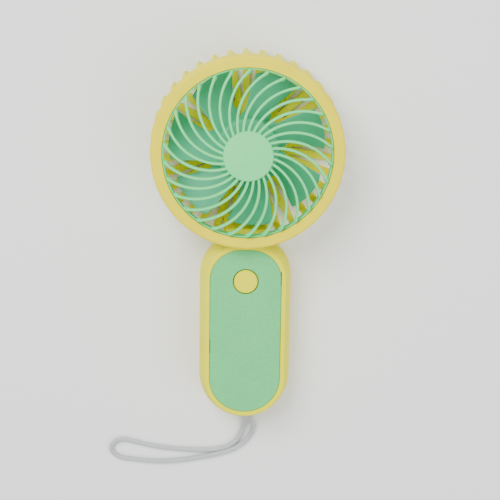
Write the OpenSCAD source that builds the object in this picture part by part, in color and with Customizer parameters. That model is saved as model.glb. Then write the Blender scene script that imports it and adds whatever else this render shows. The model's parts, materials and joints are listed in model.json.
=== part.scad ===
// Handheld electric fan: a round slatted head on a rounded battery handle, with a cord wrist strap.
// Millimetres. The fan lies on its back: the surface is z = 0, its front faces +Z, the head is towards +Y.
// Sections are written about the spindle axis, and place() moves every part so that the origin is
// the middle of the footprint.

/* [Head] */
// Diameter of the yellow front ring
head_diameter = 100.5; // [99.5:0.5:101.5]
// Height of the front ring's face above the surface
head_depth = 36; // [35.5:0.25:36.5]
// Diameter of the opening that the front grille fills
opening_diameter = 88.6; // [88:0.2:89.2]
// Number of swirling ribs in the front grille
rib_count = 30; // [24:1:32]
// Width of one grille rib
rib_width = 1.35; // [1.2:0.05:1.6]
// How far the grille's middle stands in front of the ring's face
dome_height = 6.9; // [6:0.1:7.5]
// Diameter of the flat disc in the middle of the grille
disc_diameter = 25.8; // [24:0.2:27]
// Number of slats in the rear cover, counted all the way round
slat_count = 36; // [30:2:40]
// Width of one slat
slat_width = 3.6; // [3.2:0.1:4]

/* [Impeller] */
// Number of blades
blade_count = 7; // [5:1:8]
// Diameter across the blade tips
blade_diameter = 82.8; // [80:0.2:83.6]
// Thickness of a blade
blade_thickness = 1.3; // [1.1:0.1:1.6]
// Outer diameter of the hub cup
hub_diameter = 33; // [32.4:0.2:34]

/* [Motor] */
// Diameter of the motor's steel can
motor_diameter = 24.4; // [24.2:0.1:24.6]
// Length of the motor's steel can
motor_length = 12.4; // [12:0.1:12.8]

/* [Handle] */
// Thickness of the handle from back to front
handle_thickness = 26; // [25.6:0.1:26.4]
// Width of the front rim, edge to edge
rim_diameter = 42.8; // [42.4:0.2:43.2]
// How far the sides swell out beyond the front rim
side_swell = 3.2; // [2.8:0.1:3.4]
// Width of the yellow rim that frames the green panel
rim_width = 2.25; // [2:0.05:2.5]
// Wall thickness of the two handle shells
shell_wall = 2; // [1.8:0.1:2.1]
// Diameter of the power button
button_diameter = 12.6; // [12.2:0.2:13]

/* [Wrist strap] */
// Diameter of the strap's cord
strap_diameter = 2.8; // [2.6:0.1:3]

/* [Hidden] */
$fn = 96;
eps = 0.01;
tall = 120;
// running gap of a part that moves, and the fit of a part that is only assembled
slide_gap = 0.15;
fit_gap = 0.1;

// head
head_r = head_diameter / 2;
opening_r = opening_diameter / 2;
slat_r = head_r + 0.65;
cage_corner = 4.5;
slat_turn = 1;
tooth_width = 1.2;
cage_wall = 3;
band_top = head_depth - 7;
band_bottom = band_top - 5;
ring_wall = 1.6;
ring_edge = 1.6;
ring_flange = 2.4;
lip_r = head_r - ring_wall - fit_gap;
lip_top = band_top + 3;
cage_hub_r = 24;
cap_r = 20;
cap_thickness = 1.5;
spoke_half = 5;
spoke_height = 6.2;
channel_half = 2.6;
channel_top = 4.8;

// front grille
grille_gap = 0.25;
grille_r = opening_r - grille_gap;
grille_corner = 3.5;
grille_wall = 0.8;
grille_depth = 2;
skirt_bottom = band_top + 1.5;
rib_arc = 28;
rib_turn = 7.5;
// the dome is one large sphere that meets the rounded rim without a step
dome_run = grille_r - grille_corner;
dome_rise = dome_height - grille_corner;
dome_r = (dome_run * dome_run + dome_rise * dome_rise) / (2 * dome_rise) + grille_corner;
dome_centre = head_depth + dome_height - dome_r;
dome_angle = atan2(dome_run, head_depth - dome_centre);

// motor
motor_r = motor_diameter / 2;
motor_back = 4.2;
motor_front = motor_back + motor_length;
can_wall = 0.8;
shaft_r = 1;
shaft_back = 2.8;
motor_boss_r = 3;
motor_boss_top = motor_front + 1.4;
cup_wall = 2;
cup_front = motor_front + 2;
motor_screw_x = 8.5;
terminal_x = 7;
screw_r = 1;

// impeller
blade_r = blade_diameter / 2;
hub_r = hub_diameter / 2;
hub_wall = 1.4;
hub_bottom = 9.5;
hub_top = 24.5;
hub_boss_r = 3.2;
hub_boss_bottom = cup_front + 0.8;
shaft_front = hub_top - 1.6;
blade_pitch = 360 / blade_count;
blade_turn = 75.8;
// the gap between two blades starts at the waist and widens towards the tips: half its angle at each
waist_r = 20;
waist_gap = 0.5;
throat_r = 21.5;
throat_gap = 7.8;
tip_gap = 8.6;
tip_sweep = 10;
tip_corner_offset = 20;
// each blade is a slice of the wall of a wide tube that lies askew beside the spindle
blade_tube_r = 62.4;
blade_tube_at = [30, -21.8, 78.9];
blade_tube_tilt = [0, 90 - 28.9, 42.2];

// armature
core_r = 9.1;
core_bottom = 8.2;
core_top = 14.2;
coil_rise = 1.2;
commutator_r = 2.4;
commutator_bottom = 5.8;

// handle outline
rim_r = rim_diameter / 2;
corner_r = 18.75;
rim_top = -50.85;
rim_bottom = -146.2;
corner_x = rim_r - corner_r;
corner_y = rim_top - corner_r;
end_y = rim_bottom + rim_r;

// handle cross-section
mid_z = handle_thickness / 2;
side_r = (mid_z * mid_z + side_swell * side_swell) / (2 * side_swell);
side_x = side_swell - side_r;
back_corner = 7;
front_corner = 0.6;
saddle_r = slat_r + 0.3;
seam_width = 0.3;
seam_depth = 0.3;
panel_seat = handle_thickness - 2;
floor_bottom = panel_seat - 1.8;
panel_top = handle_thickness - 0.4;
notch_width = 0.45;
panel_gap = 0.2;
lip_height = 1.4;

// neck
neck_half = 10.8;
neck_end = -62;
neck_bottom = 5.2;
neck_top = 12.7;
neck_wall = 1.8;
neck_screws = [[-6.5, -57], [6.5, -57]];

// button and switch
button_y = -70.5;
button_r = button_diameter / 2;
button_top = handle_thickness + 0.2;
button_travel = 0.4;
button_bottom = 20.4;
button_gap = 0.6;
floor_hole_r = button_r + 1;
flange_r = button_r + 2.2;
flange_thickness = 1;
stem_r = 2;
plunger_r = 1.75;
board_bottom = 14;
board_top = board_bottom + 1.6;
switch_top = board_top + 3.2;

// board, socket and cell
board_half = 17;
board_y0 = -87;
board_y1 = -64.2;
board_screws = [[-13.8, -67], [-13.8, -84], [13.8, -67]];
usb_y = -77;
usb_width = 8.9;
usb_height = 3.1;
usb_x0 = 15.4;
usb_x1 = 22.6;
usb_wall = 0.4;
cell_half = 15;
cell_y0 = -130;
cell_y1 = -90;
cell_bottom = 3;
cell_top = 11.6;
case_screws = [[-13.4, -61.5], [13.4, -61.5], [-11.8, -135], [11.8, -135]];

// wrist strap
strap_x = 2.4;
strap_gap = 3;
strap_z = 10;
crimp_r = 3.6;
crimp_y0 = -144;
crimp_y1 = -139;

// the strap's route from the spindle axis: out of the handle's end, down to the surface, round and back
strap_route = [
  [0.9, -144.1, 10], [0.9, -147, 10], [0.9, -150.5, 9.6], [1, -155, 6.8], [0.6, -160, 2.8],
  [-1.4, -166.5, 1.5], [-5.6, -172, 1.5], [-13, -175.2, 1.5], [-25, -176, 1.5], [-38, -175.4, 1.5],
  [-53, -173.2, 1.5], [-62, -171, 1.5], [-68.5, -170, 1.5], [-73, -172.4, 1.5], [-74, -176.4, 1.5],
  [-70, -180.2, 1.5], [-62, -181.8, 1.5], [-50, -183, 1.5], [-40, -182.8, 1.5], [-28, -181.2, 1.5],
  [-15, -178.6, 1.5], [-3.4, -174.4, 1.5], [3.6, -168, 1.5], [6, -162, 2.6], [5, -156, 6.4],
  [3.9, -150.5, 9.6], [3.9, -147, 10], [3.9, -144.1, 10]];

// internal wires: each pair runs on both sides of x = 0 and ends under the board
wire_diameter = 1.2;
battery_wire = [
  [5, -89.6, 6.9], [5, -88.4, 8], [4.4, -86, 10], [3.6, -84, 11.4], [3, -82, 12.4], [3, -81.6, 13.2],
  [3, -81.6, 13.9]];
motor_wire = [
  [6.6, -2.2, 3.2], [5, -5.4, 2.8], [2, -10, 2.8], [1.2, -16, 2.8], [1.2, -30, 2.8], [1.2, -42, 2.8],
  [1.2, -45.6, 3.4], [1.2, -47.4, 5.6], [1.2, -48.8, 7.8], [1.2, -51, 8.6], [1.4, -56, 8.8],
  [1.6, -63, 9], [3, -66, 10], [5.6, -68.2, 11.4], [6.8, -69, 12.8], [6.8, -69, 13.9]];

// the footprint runs from the handle's end to the top of the rear cover
head_y = -(slat_r + rim_bottom - side_swell) / 2;

plastic_yellow = [0.95, 0.86, 0.36];
plastic_mint = [0.65, 0.83, 0.68];
plastic_green = [0.42, 0.68, 0.54];
steel = [0.72, 0.73, 0.75];
brass = [0.82, 0.66, 0.34];
copper = [0.75, 0.42, 0.25];
black = [0.12, 0.12, 0.13];
white = [0.9, 0.9, 0.88];

// ---- helpers ----

// moves a part from the spindle axis to the middle of the footprint
module place() {
  translate([0, head_y, 0])
    children();
}

module disc(r, z0, z1) {
  translate([0, 0, z0])
    cylinder(h = z1 - z0, r = r);
}

module tube(r_out, r_in, z0, z1) {
  difference() {
    disc(r_out, z0, z1);
    disc(r_in, z0 - eps, z1 + eps);
  }
}

module block(x0, x1, y0, y1, z0, z1) {
  translate([x0, y0, z0])
    cube([x1 - x0, y1 - y0, z1 - z0]);
}

module at_each(points) {
  for (p = points)
    translate([p[0], p[1], 0])
      children();
}

// a pan-head screw that points down: the head's underside is at z = seat
module screw(seat, length, head_r, head_height) {
  difference() {
    union() {
      disc(head_r, seat, seat + head_height);
      disc(screw_r, seat - length, seat + eps);
    }
    for (turn = [0, 90])
      rotate([0, 0, turn])
        block(-head_r * 0.6, head_r * 0.6, -0.25, 0.25, seat + head_height / 2, seat + head_height + eps);
  }
}

// ---- cords: a round tube swept along a smooth curve through a few points ----

// one point of the smooth curve between points i and i + 1
function curve_point(p, i, t) =
  let (
    last = len(p) - 1,
    a = p[max(i - 1, 0)],
    b = p[i],
    c = p[min(i + 1, last)],
    d = p[min(i + 2, last)]
  )
  0.5 * (2 * b + (c - a) * t + (2 * a - 5 * b + 4 * c - d) * t * t + (3 * b - a - 3 * c + d) * t * t * t);

function curve(p, steps) = concat(
  [for (i = [0:len(p) - 2]) for (s = [0:steps - 1]) curve_point(p, i, s / steps)],
  [p[len(p) - 1]]);

function unit(v) = v / norm(v);

// the corners of the ring at point i of a line
function ring_points(line, i, r, sides) =
  let (
    along = unit(line[min(i + 1, len(line) - 1)] - line[max(i - 1, 0)]),
    across = unit(cross(along, [0, 0, 1])),
    above = cross(across, along)
  )
  [for (s = [0:sides - 1]) line[i] + r * (cos(360 * s / sides) * across + sin(360 * s / sides) * above)];

module cord(points, diameter, steps, sides = 8) {
  line = curve(points, steps);
  rings = len(line);
  corners = [for (i = [0:rings - 1]) each ring_points(line, i, diameter / 2, sides)];
  sides_a = [for (i = [0:rings - 2]) for (s = [0:sides - 1])
    [i * sides + s, (i + 1) * sides + (s + 1) % sides, i * sides + (s + 1) % sides]];
  sides_b = [for (i = [0:rings - 2]) for (s = [0:sides - 1])
    [i * sides + s, (i + 1) * sides + s, (i + 1) * sides + (s + 1) % sides]];
  start = [[for (s = [0:sides - 1]) s]];
  finish = [[for (s = [sides - 1:-1:0]) (rings - 1) * sides + s]];
  polyhedron(points = corners, faces = concat(start, sides_a, sides_b, finish));
}

// ---- head ----

module front_grille() {
  color(plastic_mint)
    place() {
      intersection() {
        dome_shell();
        rib_swirl();
      }
      disc(disc_diameter / 2, head_depth + dome_height - grille_depth, head_depth + dome_height + 0.4);
      tube(grille_r, grille_r - grille_wall, skirt_bottom, head_depth - 0.3);
      // the flange that is trapped behind the front ring
      tube(grille_r + 2.4, grille_r - grille_wall, skirt_bottom + 1, head_depth - ring_flange - fit_gap);
    }
}

// the solid that the dome's outer face bounds, made thinner all round by inset
module dome_outline(inset) {
  intersection() {
    translate([0, dome_centre])
      circle(dome_r - inset);
    polygon([[0, dome_centre], [0, dome_centre + 1.2 * dome_r],
      [1.2 * dome_r * sin(dome_angle), dome_centre + 1.2 * dome_r * cos(dome_angle)]]);
  }
  translate([dome_run, head_depth])
    circle(grille_corner - inset);
  translate([0, head_depth - grille_corner])
    square([dome_run, grille_corner]);
}

module dome_shell() {
  rotate_extrude()
    intersection() {
      difference() {
        dome_outline(0);
        dome_outline(grille_depth);
      }
      translate([0, head_depth - 1])
        square(grille_r);
    }
}

// ribs in plan: each is an arc whose circle passes through the spindle axis
module rib_swirl() {
  translate([0, 0, head_depth - 2])
    linear_extrude(dome_height + 3)
      for (i = [0:rib_count - 1])
        rotate([0, 0, rib_turn + 360 * i / rib_count])
          intersection() {
            translate([0, -rib_arc])
              difference() {
                circle(rib_arc + rib_width / 2);
                circle(rib_arc - rib_width / 2);
              }
            difference() {
              translate([0, -2 * head_r])
                square([head_r, 2 * head_r]);
              circle(disc_diameter / 2 - 1);
            }
          }
}

module bezel_ring() {
  color(plastic_yellow)
    place()
      rotate_extrude()
        difference() {
          union() {
            translate([opening_r, band_top])
              square([head_r - ring_edge - opening_r, head_depth - band_top]);
            translate([head_r - ring_edge, head_depth - ring_edge])
              circle(ring_edge);
            translate([opening_r, band_top])
              square([head_r - opening_r, head_depth - ring_edge - band_top]);
          }
          translate([0, band_top - eps])
            square([head_r - ring_wall, head_depth - ring_flange - band_top]);
        }
}

module cage_outline(inset) {
  translate([slat_r - cage_corner, cage_corner])
    circle(cage_corner - inset);
  translate([0, inset])
    square([slat_r - cage_corner, cage_corner - inset]);
  translate([0, cage_corner])
    square([slat_r - inset, band_bottom - cage_corner]);
}

module cage_shell() {
  rotate_extrude()
    intersection() {
      difference() {
        cage_outline(0);
        cage_outline(cage_wall);
      }
      square(slat_r + band_top);
    }
}

// the slats in plan: spokes that taper to narrow teeth where they stand out round the rim
module slat_star() {
  root_x = slat_r - cage_wall - 0.5;
  tip_x = slat_r + 1;
  for (i = [0:slat_count - 1])
    rotate(slat_turn + 360 * i / slat_count)
      polygon([[0, -slat_width / 2], [root_x, -slat_width / 2], [tip_x, -tooth_width / 2],
        [tip_x, tooth_width / 2], [root_x, slat_width / 2], [0, slat_width / 2]]);
}

// the slats, and the plain stretch of wall behind the neck
module cage_slats() {
  intersection() {
    cage_shell();
    union() {
      translate([0, 0, -eps])
        linear_extrude(tall)
          slat_star();
      block(-neck_half - 1, neck_half + 1, -slat_r, -head_r + 12, -eps, tall);
    }
  }
}

module rear_cover() {
  color(plastic_yellow)
    place() {
      difference() {
        union() {
          cage_slats();
          disc(cage_hub_r, 0, cap_thickness + 2);
          block(-spoke_half, spoke_half, -head_r + 3, 0, 0, spoke_height);
          block(-neck_half, neck_half, neck_end, -head_r + 5.5, neck_bottom, neck_top);
          disc(motor_r + cup_wall + fit_gap, cap_thickness, cup_front);
        }
        cover_hollows();
      }
      tube(slat_r - 0.5, lip_r - 1.4, band_bottom, band_top);
      tube(lip_r, lip_r - 1.1, band_top - eps, lip_top);
    }
}

// what is cut away inside the rear cover: cap recess, motor cup, wire channel and neck tray
module cover_hollows() {
  disc(cap_r, -eps, cap_thickness);
  disc(motor_r + fit_gap / 2, cap_thickness - 1, motor_front);
  disc(motor_boss_r + fit_gap, motor_front - 1, cup_front + 1);
  for (side = [-1, 1])
    translate([side * motor_screw_x, 0, 0])
      disc(screw_r + fit_gap, motor_front - 1, cup_front + 1);
  block(-channel_half - 1, channel_half + 1, -head_r + 5, 0, -eps, cap_thickness);
  block(-channel_half, channel_half, -head_r + 5, -motor_r + 1, cap_thickness - eps, channel_top);
  block(-channel_half, channel_half, neck_end - 1, -head_r + 5.2, 7, channel_top + 5);
  block(-channel_half, channel_half, -head_r + 1, -head_r + 5, cap_thickness - eps, channel_top + 5);
  block(-neck_half + neck_wall, neck_half - neck_wall, neck_end + 1.5, -head_r - 2.5, 7, neck_top + 1);
  at_each(neck_screws)
    disc(screw_r + fit_gap, 0, neck_top);
}

module rear_cap() {
  color(plastic_yellow)
    place()
      difference() {
        union() {
          disc(cap_r - fit_gap, 0, cap_thickness);
          block(-channel_half - 1 + fit_gap, channel_half + 1 - fit_gap, -head_r + 5 + fit_gap, 0,
            0, cap_thickness);
        }
        // a shallow ring that frames the middle of the cap
        tube(cap_r - 3, cap_r - 3.8, -eps, 0.4);
      }
}

// ---- impeller ----

// one blade in plan: a swept sector that opens from a waist, with softened tip corners
module blade_plan() {
  half = blade_pitch / 2;
  difference() {
    intersection() {
      circle(blade_r);
      translate(tip_corner_offset * [cos(tip_sweep), -sin(tip_sweep)])
        circle(blade_r - tip_corner_offset + 0.8);
      polygon([
        [0, 0],
        waist_r * [cos(waist_gap - half), sin(waist_gap - half)],
        throat_r * [cos(throat_gap - half), sin(throat_gap - half)],
        1.1 * blade_r * [cos(tip_gap - half - tip_sweep), sin(tip_gap - half - tip_sweep)],
        1.2 * blade_r * [cos(tip_sweep), -sin(tip_sweep)],
        1.1 * blade_r * [cos(half - tip_gap - tip_sweep), sin(half - tip_gap - tip_sweep)],
        throat_r * [cos(half - throat_gap), sin(half - throat_gap)],
        waist_r * [cos(half - waist_gap), sin(half - waist_gap)]]);
    }
    circle(hub_r - hub_wall / 2);
  }
}

module blade() {
  intersection() {
    translate([0, 0, hub_bottom - 3])
      linear_extrude(hub_top - hub_bottom + 6)
        blade_plan();
    translate(blade_tube_at)
      rotate(blade_tube_tilt)
        difference() {
          cylinder(h = 200, r = blade_tube_r + blade_thickness / 2, center = true);
          cylinder(h = 202, r = blade_tube_r - blade_thickness / 2, center = true);
        }
    block(0, head_r, -head_r, head_r, hub_bottom - 2, hub_top + 2);
  }
}

module impeller() {
  color(plastic_green)
    place() {
      difference() {
        disc(hub_r, hub_bottom, hub_top);
        disc(hub_r - hub_wall, hub_bottom - eps, hub_top - 1.6);
      }
      tube(hub_boss_r, shaft_r, hub_boss_bottom, hub_top - 1.6 + eps);
      for (i = [0:blade_count - 1])
        rotate([0, 0, blade_turn + blade_pitch * i])
          blade();
    }
}

// ---- motor ----

module motor_can() {
  color(steel)
    place() {
      difference() {
        disc(motor_r, motor_back, motor_front);
        disc(motor_r - can_wall, motor_back - eps, motor_front - can_wall);
        disc(motor_boss_r - can_wall, motor_front - 2, motor_front + 1);
        for (side = [-1, 1])
          translate([side * motor_screw_x, 0, 0])
            disc(screw_r, motor_front - 2, motor_front + 1);
      }
      tube(motor_boss_r, motor_boss_r - can_wall, motor_front - eps, motor_boss_top);
    }
}

module motor_end_cap() {
  color(white)
    place()
      difference() {
        union() {
          disc(motor_r - can_wall, motor_back, motor_back + 1.4);
          disc(motor_boss_r, motor_back - 1.2, motor_back + eps);
        }
        disc(2.2, motor_back - 2, motor_back + 2);
        for (side = [0, 1])
          mirror([side, 0, 0])
            block(terminal_x - 0.4, terminal_x + 0.4, -1.6, 1.6, motor_back - 1, motor_back + 2);
      }
}

module motor_magnets() {
  color(black)
    place()
      difference() {
        tube(motor_r - can_wall, core_r + 0.5, core_bottom - 0.6, core_top + 0.6);
        for (side = [-1, 1])
          block(-motor_r, motor_r, side * 9 - 5, side * 9 + 5, 0, tall);
      }
}

module motor_bushings() {
  color(brass)
    place() {
      tube(motor_boss_r - can_wall, shaft_r + 0.03, motor_front - can_wall, motor_boss_top);
      tube(2.2, shaft_r + 0.03, motor_back - 1.2, motor_back + 0.6);
    }
}

module motor_brushes() {
  color(copper)
    place()
      for (side = [0, 1])
        mirror([side, 0, 0])
          block(commutator_r + 0.1, commutator_r + 1.7, -0.8, 0.8, motor_back + 1.5, motor_back + 2.7);
}

module motor_terminals() {
  color(brass)
    place()
      for (side = [0, 1])
        mirror([side, 0, 0]) {
          block(terminal_x - 0.35, terminal_x + 0.35, -1.5, 1.5, motor_back - 1.6, motor_back + 2);
          block(3, terminal_x, -0.7, 0.7, motor_back + 1.4, motor_back + 1.5);
        }
}

module motor_shaft() {
  color(steel)
    place()
      disc(shaft_r, shaft_back, shaft_front);
}

module armature_core() {
  color(steel)
    place()
      difference() {
        disc(core_r, core_bottom, core_top);
        disc(shaft_r, 0, tall);
        for (i = [0:2])
          rotate([0, 0, 120 * i]) {
            block(core_r - 2.5, core_r + 1, -0.9, 0.9, 0, tall);
            intersection() {
              tube(core_r - 1.5, 3.6, core_bottom - 1, core_top + 1);
              rotate([0, 0, 45])
                block(0, head_r, 0, head_r, 0, tall);
              rotate([0, 0, -45])
                block(0, head_r, -head_r, 0, 0, tall);
              block(0, head_r, -4.5, 4.5, 0, tall);
            }
          }
      }
}

module armature_coils() {
  color(copper)
    place()
      for (z = [core_bottom - coil_rise, core_top])
        for (i = [0:2])
          rotate([0, 0, 120 * i + 60])
            difference() {
              block(3.4, core_r - 1.8, -3, 3, z, z + coil_rise);
              block(4.6, core_r - 3, -1.8, 1.8, z - 1, z + coil_rise + 1);
            }
}

module commutator() {
  color(copper)
    place()
      difference() {
        tube(commutator_r, shaft_r, commutator_bottom, core_bottom);
        for (i = [0:2])
          rotate([0, 0, 120 * i])
            block(commutator_r - 0.4, commutator_r + 1, -0.15, 0.15, 0, tall);
      }
}

module motor_screws() {
  color(steel)
    place()
      for (side = [-1, 1])
        translate([side * motor_screw_x, 0, 0])
          screw(cup_front, 3, 1.9, 1);
}

// ---- handle ----

// sweeps a half-section round the handle's outline: x is measured outward from the rim line, y is height
module round_outline() {
  translate([0, end_y, 0])
    rotate([0, 0, 180])
      rotate_extrude(angle = 180)
        half_section(rim_r)
          children();
  for (side = [0, 1])
    mirror([side, 0, 0]) {
      translate([corner_x, corner_y, 0])
        rotate_extrude(angle = 90)
          half_section(corner_r)
            children();
      translate([0, corner_y, 0])
        rotate([90, 0, 0])
          linear_extrude(corner_y - end_y)
            half_section(rim_r)
              children();
    }
  translate([-corner_x, corner_y, 0])
    rotate([90, 0, 90])
      linear_extrude(2 * corner_x)
        half_section(corner_r)
          children();
}

module half_section(r) {
  intersection() {
    translate([r, 0])
      children();
    translate([0, -tall])
      square(2 * tall);
  }
}

function on_circle(centre, r, angle) = centre + r * [cos(angle), sin(angle)];

function arc_points(centre, r, from, to, steps) =
  [for (i = [1:steps]) on_circle(centre, r, from + (to - from) * i / steps)];

// the handle's side in section: one long arc that turns into the rounded back and front edges
module side_section(inset, front, edge) {
  back_x = side_x + sqrt(pow(side_r - back_corner, 2) - pow(mid_z - back_corner, 2));
  back_angle = atan2(back_corner - mid_z, back_x - side_x);
  edge_z = front - edge;
  edge_x = side_x + sqrt(pow(side_r - inset - edge, 2) - pow(edge_z - mid_z, 2));
  edge_angle = atan2(edge_z - mid_z, edge_x - side_x);
  polygon(concat(
    [[-rim_r, inset], [back_x, inset]],
    arc_points([back_x, back_corner], back_corner - inset, -90, back_angle, 5),
    arc_points([side_x, mid_z], side_r - inset, back_angle, 0, 3),
    arc_points([side_x, mid_z], side_r - inset, 0, edge_angle, 4),
    edge > 0 ? arc_points([edge_x, edge_z], edge, edge_angle, 90, 3) : [],
    [[-rim_r, front]]));
}

module flat_section(outer, z0, z1) {
  translate([-rim_r, z0])
    square([rim_r + outer, z1 - z0]);
}

module handle_body() {
  difference() {
    round_outline()
      side_section(0, handle_thickness, front_corner);
    disc(saddle_r, -1, tall);
  }
}

module handle_cavity(front) {
  difference() {
    round_outline()
      side_section(shell_wall, front, 0);
    disc(saddle_r + shell_wall, -1, tall);
  }
}

// the narrow tongue round the parting line that lines the two shells up
module shell_lip(gap) {
  inner = side_swell - shell_wall;
  difference() {
    round_outline()
      flat_section(inner + 0.9 + gap, mid_z - 1, mid_z + lip_height + gap);
    round_outline()
      flat_section(inner - gap, mid_z - 2, mid_z + lip_height + 1);
    disc(saddle_r + shell_wall, -1, tall);
  }
}

// the fine groove that runs round the handle where the two shells meet
module parting_groove() {
  difference() {
    round_outline()
      flat_section(side_swell + 1, mid_z - seam_width, mid_z + eps);
    round_outline()
      flat_section(side_swell - seam_depth, mid_z - 1, mid_z + 1);
  }
}

module handle_rear_shell() {
  color(plastic_yellow)
    place()
      difference() {
        union() {
          difference() {
            intersection() {
              handle_body();
              block(-head_r, head_r, -2 * tall, 0, -1, mid_z);
            }
            handle_cavity(floor_bottom);
          }
          shell_lip(0);
          intersection() {
            handle_body();
            rear_posts();
          }
        }
        rear_shell_holes();
        parting_groove();
      }
}

module rear_posts() {
  at_each(case_screws)
    disc(2.6, 1, mid_z);
  at_each(board_screws)
    disc(2.2, 1, board_bottom);
  at_each(neck_screws)
    disc(2.6, 1, neck_bottom);
  // ribs that hold the cell in place
  for (side = [0, 1])
    mirror([side, 0, 0])
      block(cell_half + 0.5, cell_half + 1.5, cell_y0 + 4, cell_y1 - 4, 1, cell_bottom + 4);
  block(-6, 6, cell_y0 - 1.6, cell_y0 - 0.6, 1, cell_bottom + 3);
  // the bar that the strap's crimp pulls against
  block(strap_x - 6, strap_x + 6, crimp_y0 - 1.5, crimp_y0, 1, mid_z);
}

module strap_slot() {
  for (side = [-1, 1])
    translate([strap_x + side * strap_gap / 2, crimp_y0 - 12, strap_z])
      rotate([-90, 0, 0])
        cylinder(h = 12 + eps, r = strap_diameter / 2 + 0.2);
  block(strap_x - strap_gap / 2, strap_x + strap_gap / 2, crimp_y0 - 12, crimp_y0 + eps,
    strap_z - strap_diameter / 2 - 0.2, strap_z + strap_diameter / 2 + 0.2);
}

module usb_opening(gap) {
  for (side = [-1, 1])
    translate([usb_x0, usb_y + side * (usb_width - usb_height) / 2, board_bottom - usb_height / 2])
      rotate([0, 90, 0])
        cylinder(h = 14, r = usb_height / 2 + gap);
  block(usb_x0, usb_x0 + 14, usb_y - (usb_width - usb_height) / 2, usb_y + (usb_width - usb_height) / 2,
    board_bottom - usb_height - gap, board_bottom + gap);
}

module rear_shell_holes() {
  strap_slot();
  usb_opening(0.25);
  block(-neck_half - 0.2, neck_half + 0.2, neck_end - 0.2, -head_r + 2, neck_bottom, mid_z + 2);
  at_each(concat(case_screws, board_screws, neck_screws))
    disc(screw_r, 3, tall);
}

module handle_front_shell() {
  color(plastic_yellow)
    place()
      difference() {
        union() {
          difference() {
            intersection() {
              handle_body();
              block(-head_r, head_r, -2 * tall, 0, mid_z, tall);
            }
            handle_cavity(floor_bottom);
          }
          intersection() {
            handle_body();
            at_each(case_screws)
              disc(2.6, mid_z, panel_seat);
          }
          // the collar that guides the button's flange
          translate([0, button_y, 0])
            tube(flange_r + slide_gap + 1.2, flange_r + slide_gap, floor_bottom - 2, floor_bottom + eps);
        }
        shell_lip(0.05);
        panel_notches();
        round_outline()
          flat_section(-rim_width, panel_seat, handle_thickness + 1);
        translate([0, button_y, 0])
          disc(floor_hole_r, floor_bottom - 1, tall);
        at_each(case_screws) {
          disc(screw_r + fit_gap, mid_z - 1, tall);
          disc(2.2, floor_bottom + 0.4, tall);
        }
        usb_opening(0.25);
      }
}

// two narrow slots at the panel's edge, through the panel and the floor under it, where it clips in
module panel_notches() {
  block(rim_r - rim_width - notch_width, rim_r - rim_width, -73, -65, floor_bottom - 1, tall);
  block(-rim_r + rim_width, -rim_r + rim_width + notch_width, -111, -103, floor_bottom - 1, tall);
}

module front_panel() {
  color(plastic_mint)
    place()
      difference() {
        round_outline()
          flat_section(-rim_width - panel_gap, panel_seat, panel_top);
        translate([0, button_y, 0])
          disc(button_r + button_gap, panel_seat - 1, tall);
        panel_notches();
      }
}

// ---- button and switch ----

module power_button() {
  color(plastic_yellow)
    place()
      translate([0, button_y, 0]) {
        difference() {
          union() {
            disc(button_r, floor_bottom - flange_thickness - 0.1, button_top - 0.5);
            translate([0, 0, button_top - 0.5])
              cylinder(h = 0.5, r1 = button_r, r2 = button_r - 0.5);
            disc(flange_r, floor_bottom - flange_thickness - 0.1, floor_bottom - 0.1);
          }
          disc(button_r - 1.3, floor_bottom - flange_thickness - 1, button_top - 1.8);
        }
        disc(stem_r, button_bottom, button_top - 1.8 + eps);
      }
}

module switch_body() {
  color(black)
    place()
      translate([0, button_y, 0])
        difference() {
          block(-3, 3, -3, 3, board_top, switch_top);
          disc(plunger_r + 0.08, board_top + 1, switch_top + 1);
        }
}

module switch_plunger() {
  color(white)
    place()
      translate([0, button_y, 0])
        disc(plunger_r, board_top + 1 + button_travel + 0.2, button_bottom);
}

module control_board() {
  color([0.1, 0.4, 0.25])
    place()
      difference() {
        block(-board_half, board_half, board_y0, board_y1, board_bottom, board_top);
        at_each(board_screws)
          disc(screw_r + fit_gap, 0, tall);
      }
}

module board_chips() {
  color(black)
    place() {
      block(-12, -7, -81, -76, board_top, board_top + 1.5);
      block(5, 8, -82, -79, board_top, board_top + 1.2);
      block(-4, 0, -75.5, -71.5, board_bottom - 1.2, board_bottom);
    }
}

module board_capacitors() {
  color([0.75, 0.62, 0.45])
    place() {
      for (x = [-4, -1.5, 1])
        block(x, x + 1.2, -81, -79, board_top, board_top + 0.9);
      for (y = [-73, -70])
        block(10, 12, y, y + 1.2, board_top, board_top + 0.9);
    }
}

module boost_inductor() {
  color([0.25, 0.25, 0.27])
    place()
      translate([9, -75.5, 0]) {
        disc(2.5, board_top, board_top + 0.6);
        disc(1.9, board_top + 0.6, board_top + 2.2);
        disc(2.5, board_top + 2.2, board_top + 2.8);
      }
}

module status_led() {
  color([0.95, 0.95, 0.9])
    place() {
      block(13.5, 15.5, -82.6, -81.2, board_bottom - 0.9, board_bottom);
      translate([14.5, -81.9, board_bottom - 1.2])
        cylinder(h = 0.4, r = 0.5);
    }
}

module usb_shell() {
  color(steel)
    place()
      intersection() {
        difference() {
          usb_opening(0);
          translate([usb_wall, 0, 0])
            usb_opening(-usb_wall);
        }
        block(usb_x0, usb_x1, -tall, 0, 0, tall);
      }
}

module usb_tongue() {
  color(black)
    place() {
      block(usb_x0 + usb_wall, usb_x1 - 1, usb_y - 3, usb_y + 3, board_bottom - usb_height / 2 - 0.35,
        board_bottom - usb_height / 2 + 0.35);
      block(usb_x0 + usb_wall, usb_x0 + 1.6, usb_y - 3, usb_y + 3, board_bottom - usb_height + usb_wall,
        board_bottom - usb_wall);
    }
}

// ---- battery ----

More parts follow.
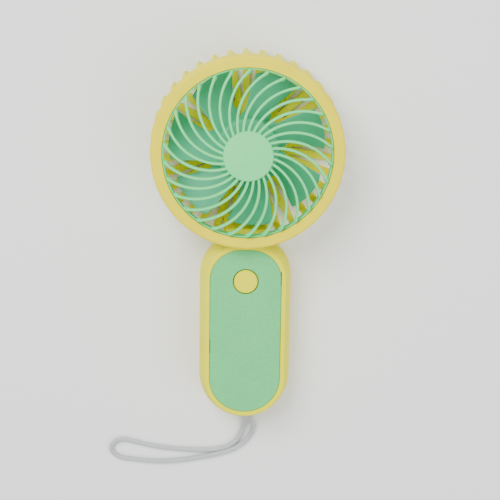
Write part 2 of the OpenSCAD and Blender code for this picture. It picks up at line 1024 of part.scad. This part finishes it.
module battery_cell() {
  color([0.75, 0.77, 0.8])
    place() {
      block(-cell_half, cell_half, cell_y0, cell_y1 - 2, cell_bottom, cell_top);
      block(-cell_half + 1, cell_half - 1, cell_y1 - 2, cell_y1, cell_bottom + 2, cell_top - 3);
      for (x = [-5, 5])
        block(x - 1.5, x + 1.5, cell_y1 - eps, cell_y1 + 1, 6, 6.3);
    }
}

module battery_pad() {
  color([0.3, 0.3, 0.32])
    place()
      block(-cell_half + 2, cell_half - 2, cell_y0 + 3, cell_y1 - 5, shell_wall, cell_bottom);
}

function mirrored(points) = [for (p = points) [-p[0], p[1], p[2]]];

module battery_wire_red() {
  color([0.8, 0.1, 0.1])
    place()
      cord(battery_wire, wire_diameter, 3);
}

module battery_wire_black() {
  color(black)
    place()
      cord(mirrored(battery_wire), wire_diameter, 3);
}

module motor_wire_red() {
  color([0.8, 0.1, 0.1])
    place()
      cord(motor_wire, wire_diameter, 3);
}

module motor_wire_black() {
  color(black)
    place()
      cord(mirrored(motor_wire), wire_diameter, 3);
}

// ---- fasteners ----

module neck_screws() {
  color(steel)
    place()
      at_each(neck_screws)
        screw(7, 4, 1.9, 1.2);
}

module board_screws() {
  color(steel)
    place()
      at_each(board_screws)
        screw(board_top, 8, 1.9, 1.2);
}

module case_screws() {
  color(steel)
    place()
      at_each(case_screws)
        screw(floor_bottom + 0.4, 16, 1.9, 1.2);
}

// ---- wrist strap ----

module strap_crimp() {
  color(steel)
    place()
      translate([strap_x, crimp_y0, strap_z])
        rotate([-90, 0, 0])
          cylinder(h = crimp_y1 - crimp_y0, r = crimp_r);
}

module strap_cord() {
  color([0.85, 0.87, 0.88])
    place()
      cord(strap_route, strap_diameter, 3);
}

front_grille();
bezel_ring();
rear_cover();
rear_cap();
impeller();
motor_can();
motor_end_cap();
motor_magnets();
motor_bushings();
motor_brushes();
motor_terminals();
motor_shaft();
armature_core();
armature_coils();
commutator();
motor_screws();
motor_wire_red();
motor_wire_black();
handle_rear_shell();
handle_front_shell();
front_panel();
power_button();
switch_body();
switch_plunger();
control_board();
board_chips();
board_capacitors();
boost_inductor();
status_led();
usb_shell();
usb_tongue();
battery_cell();
battery_pad();
battery_wire_red();
battery_wire_black();
neck_screws();
board_screws();
case_screws();
strap_crimp();
strap_cord();
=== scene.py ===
"""Looks of a handheld electric fan that lies on its back, in metres, in the same frame as its CAD."""

import json
import math

import bmesh  # noqa: E402
import bpy  # noqa: E402
from mathutils import Matrix, Vector  # noqa: E402


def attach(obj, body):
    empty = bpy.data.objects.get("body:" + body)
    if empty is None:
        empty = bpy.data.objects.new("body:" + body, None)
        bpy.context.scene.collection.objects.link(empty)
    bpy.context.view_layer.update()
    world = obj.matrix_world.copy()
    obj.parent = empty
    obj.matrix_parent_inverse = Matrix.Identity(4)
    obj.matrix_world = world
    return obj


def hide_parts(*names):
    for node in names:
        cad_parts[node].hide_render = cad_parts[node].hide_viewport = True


MM = 0.001
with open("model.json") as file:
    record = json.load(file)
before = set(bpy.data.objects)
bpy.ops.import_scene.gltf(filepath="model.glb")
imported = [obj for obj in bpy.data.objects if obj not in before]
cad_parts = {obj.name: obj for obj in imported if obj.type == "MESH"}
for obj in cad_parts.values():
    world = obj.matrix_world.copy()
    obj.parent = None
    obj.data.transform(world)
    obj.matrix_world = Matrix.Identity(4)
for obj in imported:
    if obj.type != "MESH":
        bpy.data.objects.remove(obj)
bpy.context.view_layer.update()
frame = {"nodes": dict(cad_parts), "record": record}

# The spindle axis stands this far towards +Y from the middle of the footprint.
HEAD_Y = 49.25

# ---- camera: almost straight above, leaning towards the head and a little to the left ----

CAMERA_DISTANCE = 0.700
CAMERA_LEAN = math.radians(14.0)
CAMERA_SIDE = math.radians(1.7)
CAMERA_ROLL = math.radians(0.83)
CAMERA_TARGET = Vector((1.7, HEAD_Y - 50.5, 36.0)) * MM
CAMERA_LENS = 96.7


def add_camera():
    """The camera looks along -back at the target."""
    back = Vector(
        (
            -math.sin(CAMERA_SIDE) * math.cos(CAMERA_LEAN),
            math.sin(CAMERA_LEAN),
            math.cos(CAMERA_SIDE) * math.cos(CAMERA_LEAN),
        )
    )
    right = Vector((0, 1, 0)).cross(back).normalized()
    up = back.cross(right)
    camera = bpy.data.objects.new("camera", bpy.data.cameras.new("camera"))
    bpy.context.scene.collection.objects.link(camera)
    turned = Matrix((right, up, back)).transposed().to_4x4() @ Matrix.Rotation(CAMERA_ROLL, 4, "Z")
    camera.matrix_world = Matrix.Translation(CAMERA_TARGET + CAMERA_DISTANCE * back) @ turned
    camera.data.lens = CAMERA_LENS
    camera.data.clip_start = 0.01
    camera.data.dof.use_dof = False
    bpy.context.scene.camera = camera


add_camera()

# ---- wrist strap ----

STRAP_DIAMETER = 2.8 * MM
# the cord's route in millimetres from the spindle axis, the same points as in the CAD
STRAP_ROUTE = [
    (0.9, -144.1, 10),
    (0.9, -147, 10),
    (0.9, -150.5, 9.6),
    (1, -155, 6.8),
    (0.6, -160, 2.8),
    (-1.4, -166.5, 1.5),
    (-5.6, -172, 1.5),
    (-13, -175.2, 1.5),
    (-25, -176, 1.5),
    (-38, -175.4, 1.5),
    (-53, -173.2, 1.5),
    (-62, -171, 1.5),
    (-68.5, -170, 1.5),
    (-73, -172.4, 1.5),
    (-74, -176.4, 1.5),
    (-70, -180.2, 1.5),
    (-62, -181.8, 1.5),
    (-50, -183, 1.5),
    (-40, -182.8, 1.5),
    (-28, -181.2, 1.5),
    (-15, -178.6, 1.5),
    (-3.4, -174.4, 1.5),
    (3.6, -168, 1.5),
    (6, -162, 2.6),
    (5, -156, 6.4),
    (3.9, -150.5, 9.6),
    (3.9, -147, 10),
    (3.9, -144.1, 10),
]


def add_strap():
    curve = bpy.data.curves.new("strap", "CURVE")
    curve.dimensions = "3D"
    curve.resolution_u = 8
    # every point carries the cord's radius, which keeps the curve's own box true
    curve.bevel_depth = 1
    curve.bevel_resolution = 6
    curve.use_fill_caps = True
    spline = curve.splines.new("BEZIER")
    spline.bezier_points.add(len(STRAP_ROUTE) - 1)
    for point, (x, y, z) in zip(spline.bezier_points, STRAP_ROUTE):
        point.co = Vector((x, y + HEAD_Y, z)) * MM
        point.handle_left_type = "AUTO"
        point.handle_right_type = "AUTO"
        point.radius = STRAP_DIAMETER / 2
    strap = bpy.data.objects.new("strap", curve)
    bpy.context.scene.collection.objects.link(strap)
    return strap


strap = add_strap()
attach(strap, "fan_body")
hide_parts("strap_cord")

# ---- materials ----


class Nodes:
    """Builds one material's node tree with short calls."""

    def __init__(self, name):
        self.material = bpy.data.materials.new(name)
        self.material.use_nodes = True
        self.tree = self.material.node_tree
        self.shader = self.tree.nodes["Principled BSDF"]
        self.coords = self.add("ShaderNodeTexCoord").outputs["Object"]

    def add(self, kind, **settings):
        made = self.tree.nodes.new(kind)
        for key, value in settings.items():
            setattr(made, key, value)
        return made

    def link(self, source, target):
        self.tree.links.new(source, target)

    def noise(self, scale, detail=3.0):
        """Soft noise with about this many waves in a metre."""
        made = self.add("ShaderNodeTexNoise")
        made.inputs["Scale"].default_value = scale
        made.inputs["Detail"].default_value = detail
        self.link(self.coords, made.inputs["Vector"])
        return made.outputs["Fac"]

    def spread(self, source, low, high, from_low=0.3, from_high=0.7):
        """Stretches the middle of a noise's range over low to high."""
        made = self.add("ShaderNodeMapRange")
        made.inputs["From Min"].default_value = from_low
        made.inputs["From Max"].default_value = from_high
        made.inputs["To Min"].default_value = low
        made.inputs["To Max"].default_value = high
        self.link(source, made.inputs["Value"])
        return made.outputs["Result"]

    def mix(self, amount, first, second):
        """A mix of two colours, each a tuple or another node's output."""
        made = self.add("ShaderNodeMix", data_type="RGBA")
        self.link(amount, made.inputs["Factor"])
        for socket, value in ((made.inputs["A"], first), (made.inputs["B"], second)):
            if isinstance(value, tuple):
                socket.default_value = (*value, 1)
            else:
                self.link(value, socket)
        return made.outputs["Result"]

    def edges(self, width):
        """1 on sharp edges and 0 on flat faces."""
        bevel = self.add("ShaderNodeBevel", samples=4)
        bevel.inputs["Radius"].default_value = width
        true_normal = self.add("ShaderNodeNewGeometry").outputs["Normal"]
        dot = self.add("ShaderNodeVectorMath", operation="DOT_PRODUCT")
        self.link(bevel.outputs["Normal"], dot.inputs[0])
        self.link(true_normal, dot.inputs[1])
        return self.spread(dot.outputs["Value"], 1, 0, 0.8, 0.99)

    def bump(self, height, distance, softened=None):
        """Sets the shader's normal: raised by height, with edges that look rounded over softened."""
        made = self.add("ShaderNodeBump")
        made.inputs["Strength"].default_value = 1.0
        made.inputs["Distance"].default_value = distance
        self.link(height, made.inputs["Height"])
        if softened:
            bevel = self.add("ShaderNodeBevel", samples=4)
            bevel.inputs["Radius"].default_value = softened
            self.link(bevel.outputs["Normal"], made.inputs["Normal"])
        self.link(made.outputs["Normal"], self.shader.inputs["Normal"])


def shade(colour, factor):
    """A darker or lighter tone of a colour."""
    return tuple(min(1.0, c * factor) for c in colour)


def moulded(
    name, colour, roughness=0.5, grain=0.00002, soft_edge=0.0003, specular=0.2, speckle=0.1, glow=0.0
):
    """Moulded plastic: faint tone changes, a fine spark-eroded grain, and paler rubbed edges.

    speckle is how strongly the fine dark specks show, and glow is how much of its light comes from
    below the surface of a thin, slightly milky wall.
    """
    n = Nodes(name)
    tone = n.spread(n.noise(60.0), 0, 1)
    toned = n.mix(tone, shade(colour, 0.96), shade(colour, 1.03))
    body = n.mix(n.spread(n.noise(1200.0, 6.0), 0, speckle), toned, shade(colour, 0.55))
    rubbed = n.add("ShaderNodeMath", operation="MULTIPLY")
    n.link(n.edges(soft_edge), rubbed.inputs[0])
    n.link(n.spread(n.noise(300.0), 0, 0.5), rubbed.inputs[1])
    n.link(n.mix(rubbed.outputs[0], body, shade(colour, 1.12)), n.shader.inputs["Base Color"])
    n.link(n.spread(n.noise(900.0), roughness - 0.05, roughness + 0.07), n.shader.inputs["Roughness"])
    n.shader.inputs["Specular IOR Level"].default_value = specular
    n.shader.inputs["Subsurface Weight"].default_value = glow
    n.shader.inputs["Subsurface Radius"].default_value = colour
    n.shader.inputs["Subsurface Scale"].default_value = 2 * MM
    n.bump(n.noise(4000.0, 2.0), grain, soft_edge)
    return n.material


def metal(name, colour, roughness=0.32, soft_edge=0.0001):
    """Plated or drawn metal: faint streaks, small tarnish spots and brighter edges."""
    n = Nodes(name)
    stain = n.spread(n.noise(500.0, 6.0), 0, 1, 0.45, 0.7)
    body = n.mix(stain, colour, shade(colour, 0.78))
    n.link(n.mix(n.edges(soft_edge), body, shade(colour, 1.25)), n.shader.inputs["Base Color"])
    n.shader.inputs["Metallic"].default_value = 1.0
    n.link(n.spread(n.noise(1800.0), roughness - 0.08, roughness + 0.12), n.shader.inputs["Roughness"])
    n.bump(n.noise(3000.0, 4.0), 0.00001, soft_edge)
    return n.material


def braid(name, colour):
    """Braided cord: two crossing sets of yarns wound round the cord, with fluff between them."""
    n = Nodes(name)
    along = n.add("ShaderNodeTexCoord").outputs["UV"]
    heights = []
    for turn in (1, -1):
        mapping = n.add("ShaderNodeMapping")
        mapping.inputs["Scale"].default_value = (90.0, 4.0 * turn, 1.0)
        n.link(along, mapping.inputs["Vector"])
        wave = n.add("ShaderNodeTexWave", bands_direction="DIAGONAL")
        wave.inputs["Scale"].default_value = 1.0
        n.link(mapping.outputs["Vector"], wave.inputs["Vector"])
        heights.append(wave.outputs["Fac"])
    yarns = n.add("ShaderNodeMath", operation="MAXIMUM")
    n.link(heights[0], yarns.inputs[0])
    n.link(heights[1], yarns.inputs[1])
    # painted shade: the low grooves between the yarns are painted darker than the yarns' tops
    body = n.mix(n.spread(yarns.outputs[0], 0, 1, 0.3, 1.0), shade(colour, 0.78), colour)
    fluff = n.spread(n.noise(2500.0, 4.0), 0, 0.5)
    n.link(n.mix(fluff, body, shade(colour, 1.08)), n.shader.inputs["Base Color"])
    n.link(n.spread(n.noise(1500.0), 0.75, 0.95), n.shader.inputs["Roughness"])
    n.shader.inputs["Sheen Weight"].default_value = 0.3
    n.bump(yarns.outputs[0], 0.0002)
    return n.material


MINT = (0.14, 0.80, 0.27)
PANEL_MINT = (0.12, 0.62, 0.215)
GREEN = (0.055, 0.51, 0.27)
YELLOW = (0.88, 0.74, 0.002)
HANDLE_YELLOW = (0.82, 0.79, 0.002)
REAR_YELLOW = (0.87, 0.81, 0.002)

SLOTS = {
    "mint": moulded("mint", MINT, speckle=0.2),
    "panel_mint": moulded("panel_mint", PANEL_MINT, 0.55, 0.00003, speckle=0.3),
    "yellow": moulded("yellow", YELLOW, specular=0.12),
    "yellow_rear": moulded("yellow_rear", REAR_YELLOW, specular=0.12, glow=0.35),
    "yellow_handle": moulded("yellow_handle", HANDLE_YELLOW, specular=0.12),
    "yellow_button": moulded("yellow_button", HANDLE_YELLOW, soft_edge=0.0004, specular=0.12),
    "green": moulded("green", GREEN, 0.42, specular=0.3),
    "motor_steel": metal("motor_steel", (0.62, 0.62, 0.63)),
    "shaft_steel": metal("shaft_steel", (0.66, 0.66, 0.67), 0.22),
    "screw_steel": metal("screw_steel", (0.55, 0.55, 0.56)),
    "motor_plastic": moulded("motor_plastic", (0.72, 0.71, 0.66)),
    "magnet": moulded("magnet", (0.05, 0.05, 0.055), 0.6),
    "bronze": metal("bronze", (0.56, 0.38, 0.19), 0.45),
    "contact_copper": metal("contact_copper", (0.70, 0.34, 0.20), 0.3),
    "contact_brass": metal("contact_brass", (0.76, 0.58, 0.27), 0.3),
    "lamination": metal("lamination", (0.32, 0.32, 0.34), 0.45),
    "coil_copper": metal("coil_copper", (0.62, 0.22, 0.10), 0.3),
    "wire_red": moulded("wire_red", (0.62, 0.03, 0.03), 0.45),
    "wire_black": moulded("wire_black", (0.02, 0.02, 0.02), 0.45),
    "switch_black": moulded("switch_black", (0.03, 0.03, 0.03)),
    "plunger_white": moulded("plunger_white", (0.70, 0.70, 0.68)),
    "board_green": moulded("board_green", (0.02, 0.17, 0.07), 0.25),
    "chip_black": moulded("chip_black", (0.025, 0.025, 0.028), 0.55),
    "capacitor": moulded("capacitor", (0.45, 0.30, 0.15), 0.4),
    "ferrite": moulded("ferrite", (0.06, 0.06, 0.065), 0.5),
    "led": moulded("led", (0.80, 0.80, 0.66), 0.15),
    "usb_steel": metal("usb_steel", (0.68, 0.68, 0.69), 0.25),
    "cell_foil": metal("cell_foil", (0.66, 0.67, 0.69), 0.35),
    "pad_foam": moulded("pad_foam", (0.06, 0.06, 0.065), 0.9, 0.0001),
    "crimp_metal": metal("crimp_metal", (0.62, 0.62, 0.64), 0.35),
    "cord_fabric": braid("cord_fabric", (0.52, 0.55, 0.56)),
}


def dress(obj, slot):
    """Gives an object the one material of its slot."""
    obj.data.materials.clear()
    obj.data.materials.append(SLOTS[slot])


# ---- shapes ----


def from_spindle(x, y, z):
    """A point of the frame from millimetres about the spindle axis."""
    return Vector((x, y + HEAD_Y, z)) * MM


def polar(radius, angle, z=0.0):
    return (radius * math.cos(angle), radius * math.sin(angle), z)


def rounded(corners, steps=5):
    """The points of a closed outline through corners (x, y, rounding radius)."""
    points = []
    before = corners[-1:] + corners[:-1]
    after = corners[1:] + corners[:1]
    for (ax, ay, _), (bx, by, radius), (cx, cy, _) in zip(before, corners, after):
        corner = Vector((bx, by))
        if radius == 0:
            points.append(corner)
            continue
        to_a = (Vector((ax, ay)) - corner).normalized()
        to_c = (Vector((cx, cy)) - corner).normalized()
        half = to_a.angle(to_c) / 2
        centre = corner + (to_a + to_c).normalized() * radius / math.sin(half)
        start = (corner + to_a * radius / math.tan(half) - centre).normalized()
        finish = (corner + to_c * radius / math.tan(half) - centre).normalized()
        points += [centre + radius * start.slerp(finish, step / steps) for step in range(steps + 1)]
    return points


def skin(rings, loop=False):
    """Vertices and faces over rings of equally many points, closed by two caps or into a loop."""
    count = len(rings[0])
    vertices = [point for ring in rings for point in ring]
    spans = list(zip(range(len(rings) - 1), range(1, len(rings))))
    if loop:
        spans.append((len(rings) - 1, 0))
    faces = [
        (a * count + i, a * count + (i + 1) % count, b * count + (i + 1) % count, b * count + i)
        for a, b in spans
        for i in range(count)
    ]
    if not loop:
        faces.append(tuple(range(count)))
        faces.append(tuple(range(len(vertices) - count, len(vertices))))
    return vertices, faces


def turned(profile, steps=96, centre_y=0.0):
    """The rings of a closed profile (radius, z) turned about an upright axis."""
    return [
        [(x, y + centre_y, z) for x, y, z in (polar(r, 2 * math.pi * step / steps, z) for r, z in profile)]
        for step in range(steps)
    ]


def add_piece(name, solids, body, node, slot):
    """One mesh from solids given as (vertices, faces) in millimetres about the spindle axis."""
    shape = bmesh.new()
    for vertices, faces in solids:
        made = [shape.verts.new(from_spindle(*point)) for point in vertices]
        for face in faces:
            shape.faces.new([made[i] for i in face])
    bmesh.ops.remove_doubles(shape, verts=shape.verts, dist=0.002 * MM)
    bmesh.ops.dissolve_degenerate(shape, edges=shape.edges, dist=0.001 * MM)
    bmesh.ops.recalc_face_normals(shape, faces=shape.faces)
    mesh = bpy.data.meshes.new(name)
    shape.to_mesh(mesh)
    shape.free()
    mesh.shade_smooth()
    mesh.set_sharp_from_angle(angle=math.radians(40))
    piece = bpy.data.objects.new(name, mesh)
    bpy.context.scene.collection.objects.link(piece)
    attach(piece, body)
    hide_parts(node)
    dress(piece, slot)
    return piece


# ---- front grille: swirling ribs on a shallow dome, a middle disc and a rim ----

RING_FACE = 36.0
DOME_HEIGHT = 6.9
GRILLE_RADIUS = 44.05
GRILLE_CORNER = 3.5
RIM_WALL = 0.8
RIM_BOTTOM = 30.5
RIM_TOP = 35.7
# the flange that is trapped behind the front ring
RIM_FLANGE_REACH = 2.4
RIM_FLANGE_BOTTOM = 31.5
RIM_FLANGE_TOP = 33.5
RIB_COUNT = 30
RIB_WIDTH = 1.35
RIB_DEPTH = 2.0
RIB_TURN = math.radians(7.5)
# each rib is an arc of this radius in plan, whose circle passes through the spindle
RIB_ARC = 28.0
RIB_DOME_STEPS = 24
RIB_CORNER_STEPS = 10
# how far the ribs' ends run under the disc and down inside the rim
RIB_OVERLAP = 1
DISC_RADIUS = 12.9
DISC_FACE = RING_FACE + DOME_HEIGHT + 0.4
DISC_THICKNESS = 2.4

dome_run = GRILLE_RADIUS - GRILLE_CORNER
dome_rise = DOME_HEIGHT - GRILLE_CORNER
dome_radius = (dome_run**2 + dome_rise**2) / (2 * dome_rise) + GRILLE_CORNER
dome_centre = RING_FACE + DOME_HEIGHT - dome_radius
dome_edge = math.atan2(dome_run, RING_FACE - dome_centre)


def rib_line():
    """The middle line of one rib as (distance from the spindle, height, lean of the surface)."""
    first = math.asin((DISC_RADIUS - RIB_OVERLAP) / dome_radius)
    middle = dome_radius - RIB_DEPTH / 2
    line = []
    for step in range(RIB_DOME_STEPS + 1):
        lean = first + (dome_edge - first) * step / RIB_DOME_STEPS
        line.append((middle * math.sin(lean), dome_centre + middle * math.cos(lean), lean))
    middle = GRILLE_CORNER - RIB_DEPTH / 2
    last = math.pi / 2 + math.asin(RIB_OVERLAP / middle)
    for step in range(1, RIB_CORNER_STEPS + 1):
        lean = dome_edge + (last - dome_edge) * step / RIB_CORNER_STEPS
        line.append((dome_run + middle * math.sin(lean), RING_FACE + middle * math.cos(lean), lean))
    return line


def rib_solid(turn):
    """One rib: a rounded bar swept along the rib's line."""
    width, depth = RIB_WIDTH / 2, RIB_DEPTH / 2
    section = rounded(
        [(-width, -depth, 0.3), (width, -depth, 0.3), (width, depth, 0.5), (-width, depth, 0.5)],
        steps=4,
    )
    line = rib_line()
    centres = [Vector(polar(r, turn - math.asin(r / (2 * RIB_ARC)), z)) for r, z, _ in line]
    rings = []
    for i, (r, z, lean) in enumerate(line):
        along = (centres[min(i + 1, len(line) - 1)] - centres[max(i - 1, 0)]).normalized()
        outward = Vector((centres[i].x, centres[i].y, 0)).normalized()
        up = outward * math.sin(lean) + Vector((0, 0, math.cos(lean)))
        side = along.cross(up).normalized()
        up = side.cross(along).normalized()
        rings.append([centres[i] + side * a + up * b for a, b in section])
    return skin(rings)


def add_grille():
    ribs = [rib_solid(RIB_TURN + 2 * math.pi * i / RIB_COUNT) for i in range(RIB_COUNT)]
    add_piece("grille_ribs", ribs, "fan_body", "front_grille", "mint")
    disc_back = DISC_FACE - DISC_THICKNESS
    disc = rounded(
        [(0, disc_back, 0), (DISC_RADIUS, disc_back, 0.3), (DISC_RADIUS, DISC_FACE, 0.7), (0, DISC_FACE, 0)]
    )
    add_piece("grille_disc", [skin(turned(disc), loop=True)], "fan_body", "front_grille", "mint")
    outer, inner, flange = GRILLE_RADIUS, GRILLE_RADIUS - RIM_WALL, GRILLE_RADIUS + RIM_FLANGE_REACH
    rim = rounded(
        [
            (inner, RIM_BOTTOM, 0.2),
            (outer, RIM_BOTTOM, 0.2),
            (outer, RIM_FLANGE_BOTTOM, 0.1),
            (flange, RIM_FLANGE_BOTTOM, 0.2),
            (flange, RIM_FLANGE_TOP, 0.2),
            (outer, RIM_FLANGE_TOP, 0.1),
            (outer, RIM_TOP, 0.3),
            (inner, RIM_TOP, 0.3),
        ],
        steps=3,
    )
    rim_rings = turned(rim, steps=144)
    add_piece("grille_rim", [skin(rim_rings, loop=True)], "fan_body", "front_grille", "mint")


# ---- impeller: a hub cup and blades that are slices of a wide askew tube ----

BLADE_COUNT = 7
BLADE_RADIUS = 41.4
BLADE_THICKNESS = 1.3
BLADE_TURN = math.radians(75.8)
# half the gap between two blades, in degrees: at the hub, and what the throat and the tip each add
HUB_GAP = 0.5
THROAT_GAP = 7.3
TIP_GAP = 0.8
# the gap opens between these two distances from the spindle
THROAT_START = 19.8
THROAT_END = 22.2
# the blades sweep back by this angle at their tips, starting at this distance from the spindle
TIP_SWEEP = math.radians(10)
SWEEP_START = 21.5
SWEEP_RUN = 24
# the circle that softens the tip's corners
TIP_CIRCLE_OFFSET = 20
TIP_CIRCLE_RADIUS = 22.2
BLADE_TUBE_RADIUS = 62.4
BLADE_TUBE_AT = Vector((30, -21.8, 78.9))
BLADE_TUBE_TILT = (math.radians(61.1), math.radians(42.2))
HUB_RADIUS = 16.5
HUB_WALL = 1.4
HUB_ROOF = 1.6
HUB_BOTTOM = 9.5
HUB_TOP = 24.5
HUB_BOSS_RADIUS = 3.2
HUB_BOSS_BOTTOM = 19.4
SHAFT_RADIUS = 1
blade_half = math.pi / BLADE_COUNT
blade_axis = Vector(polar(math.sin(BLADE_TUBE_TILT[0]), BLADE_TUBE_TILT[1], math.cos(BLADE_TUBE_TILT[0])))


def smooth_step(value, low, high):
    """0 below low and 1 above high, with a smooth change between them."""
    t = min(1.0, max(0.0, (value - low) / (high - low)))
    return t * t * (3 - 2 * t)


def blade_sides(r):
    """The two edge angles of a blade at one distance from the spindle."""
    outward = min(1.0, max(0.0, (r - SWEEP_START) / SWEEP_RUN))
    throat = smooth_step(r, THROAT_START, THROAT_END)
    narrow = math.radians(HUB_GAP + THROAT_GAP * throat + TIP_GAP * outward)
    sweep = TIP_SWEEP * outward**0.8
    return -blade_half + narrow - sweep, blade_half - narrow - sweep


def blade_tip(angle):
    """How far a blade reaches at one angle: its tip corners are softened by a smaller circle."""
    off = angle + TIP_SWEEP
    aside = TIP_CIRCLE_OFFSET * math.sin(off)
    softened = TIP_CIRCLE_OFFSET * math.cos(off) + math.sqrt(TIP_CIRCLE_RADIUS**2 - aside**2)
    return min(BLADE_RADIUS, softened)


def blade_height(x, y, offset):
    """Height of the tube's wall under the point x, y, on a tube this much wider than its middle."""
    a, b = x - BLADE_TUBE_AT.x, y - BLADE_TUBE_AT.y
    along = a * blade_axis.x + b * blade_axis.y
    square = 1 - blade_axis.z**2
    rest = a * a + b * b - along * along - (BLADE_TUBE_RADIUS + offset) ** 2
    root = math.sqrt((blade_axis.z * along) ** 2 - square * rest)
    return BLADE_TUBE_AT.z + (blade_axis.z * along - root) / square


def edge_steps(length, inner_steps):
    """Fractions from 0 to 1 that crowd near both ends, where an edge is rounded."""
    rim = [0.0, 0.06, 0.22, 0.45, 0.75]
    near = [step / length for step in rim]
    middle = [near[-1] + (1 - 2 * near[-1]) * step / inner_steps for step in range(1, inner_steps)]
    return near + middle + [1 - step for step in reversed(near)]


def blade_solid(turn):
    """One blade: a front and a back skin that meet round its edge, rooted in the hub's wall."""
    root_r = HUB_RADIUS - HUB_WALL / 2
    reach = BLADE_RADIUS - root_r
    rows = edge_steps(reach, 20)
    columns = edge_steps(24.0, 16)
    thick = BLADE_THICKNESS / 2
    top, bottom = [], []
    for v in rows:
        low, high = blade_sides(root_r + v * reach)
        for u in columns:
            angle = low + u * (high - low)
            r = root_r + v * (blade_tip(angle) - root_r)
            to_edge = min(u, 1 - u) * (high - low) * r
            depth = min(to_edge, (1 - v) * reach, thick)
            half = math.sqrt(max(0.0, thick**2 - (thick - depth) ** 2))
            x, y, _ = polar(r, angle)
            for layer, offset in ((top, -half), (bottom, half)):
                z = blade_height(x, y, offset)
                layer.append(polar(r, angle + turn, z))
    count = len(columns)
    faces = []
    for side in (0, len(top)):
        for row in range(len(rows) - 1):
            for col in range(count - 1):
                start = side + row * count + col
                faces.append((start, start + 1, start + count + 1, start + count))
    root_edge = [(col, col + 1, len(top) + col + 1, len(top) + col) for col in range(count - 1)]
    return top + bottom, faces + root_edge


def add_impeller():
    blades = [blade_solid(BLADE_TURN + 2 * math.pi * i / BLADE_COUNT) for i in range(BLADE_COUNT)]
    add_piece("impeller_blades", blades, "rotor", "impeller", "green")
    ceiling = HUB_TOP - HUB_ROOF
    inside = HUB_RADIUS - HUB_WALL
    hub = rounded(
        [
            (0, ceiling, 0),
            (SHAFT_RADIUS, ceiling, 0),
            (SHAFT_RADIUS, HUB_BOSS_BOTTOM, 0),
            (HUB_BOSS_RADIUS, HUB_BOSS_BOTTOM, 0.2),
            (HUB_BOSS_RADIUS, ceiling, 0.5),
            (inside, ceiling, 1.0),
            (inside, HUB_BOTTOM, 0.2),
            (HUB_RADIUS, HUB_BOTTOM, 0.3),
            (HUB_RADIUS, HUB_TOP, 1.8),
            (0, HUB_TOP, 0),
        ]
    )
    add_piece("impeller_hub", [skin(turned(hub), loop=True)], "rotor", "impeller", "green")


# ---- power button ----

BUTTON_Y = -70.5
BUTTON_RADIUS = 6.3
BUTTON_WALL = 1.3
BUTTON_TOP = 26.2
BUTTON_CEILING = 24.4
BUTTON_FLANGE_REACH = 2.2
BUTTON_FLANGE_BOTTOM = 21.1
BUTTON_FLANGE_TOP = 22.1
BUTTON_STEM_RADIUS = 2
BUTTON_STEM_BOTTOM = 20.4
# how much lower the cap's face is in its middle
BUTTON_DISH = 0.1


def add_button():
    inside = BUTTON_RADIUS - BUTTON_WALL
    flange = BUTTON_RADIUS + BUTTON_FLANGE_REACH
    profile = rounded(
        [
            (0, BUTTON_STEM_BOTTOM, 0),
            (BUTTON_STEM_RADIUS, BUTTON_STEM_BOTTOM, 0.1),
            (BUTTON_STEM_RADIUS, BUTTON_CEILING, 0.2),
            (inside, BUTTON_CEILING, 0.3),
            (inside, BUTTON_FLANGE_BOTTOM, 0.1),
            (flange, BUTTON_FLANGE_BOTTOM, 0.2),
            (flange, BUTTON_FLANGE_TOP, 0.2),
            (BUTTON_RADIUS, BUTTON_FLANGE_TOP, 0.2),
            (BUTTON_RADIUS, BUTTON_TOP, 0.6),
            (0, BUTTON_TOP - BUTTON_DISH, 0),
        ]
    )
    cap = skin(turned(profile, steps=72, centre_y=BUTTON_Y), loop=True)
    add_piece("button_cap", [cap], "button", "power_button", "yellow_button")


add_grille()
add_impeller()
add_button()

# ---- the CAD's own pieces ----


def soften(node, width):
    """Rounds the sharp edges of a CAD piece without changing its mesh."""
    bevel = frame["nodes"][node].modifiers.new("soft edges", "BEVEL")
    bevel.width = width
    bevel.segments = 3
    bevel.limit_method = "ANGLE"
    bevel.angle_limit = math.radians(60)
    bevel.harden_normals = True


dress(strap, "cord_fabric")
for part in frame["record"]["subparts"]:
    node = frame["nodes"][part["node"]]
    dress(node, part["material_slot"])
soften("front_panel", 0.5 * MM)

# ---- floor and light ----


def add_floor():
    bpy.ops.mesh.primitive_plane_add(size=6, location=(0, 0, 0))
    floor = bpy.context.object
    floor.name = "floor"
    n = Nodes("floor")
    white = n.mix(n.spread(n.noise(4.0), 0, 1), (0.92, 0.92, 0.92), (0.93, 0.93, 0.93))
    n.link(white, n.shader.inputs["Base Color"])
    n.shader.inputs["Roughness"].default_value = 0.9
    floor.data.materials.append(n.material)


def add_light(name, location, size, power):
    light = bpy.data.objects.new(name, bpy.data.lights.new(name, "AREA"))
    bpy.context.scene.collection.objects.link(light)
    light.data.shape = "SQUARE"
    light.data.size = size
    light.data.energy = power
    light.location = location
    light.rotation_euler = (-Vector(location)).to_track_quat("-Z", "Y").to_euler()


def add_surroundings(strength):
    world = bpy.data.worlds.new("studio")
    world.use_nodes = True
    world.node_tree.nodes["Background"].inputs["Color"].default_value = (1, 1, 1, 1)
    world.node_tree.nodes["Background"].inputs["Strength"].default_value = strength
    bpy.context.scene.world = world


add_floor()
add_light("key", location=(-0.5, 0.8, 1.2), size=0.8, power=27)
add_light("fill", location=(0.8, -0.5, 1.1), size=1.2, power=10.5)
add_surroundings(strength=0.82)
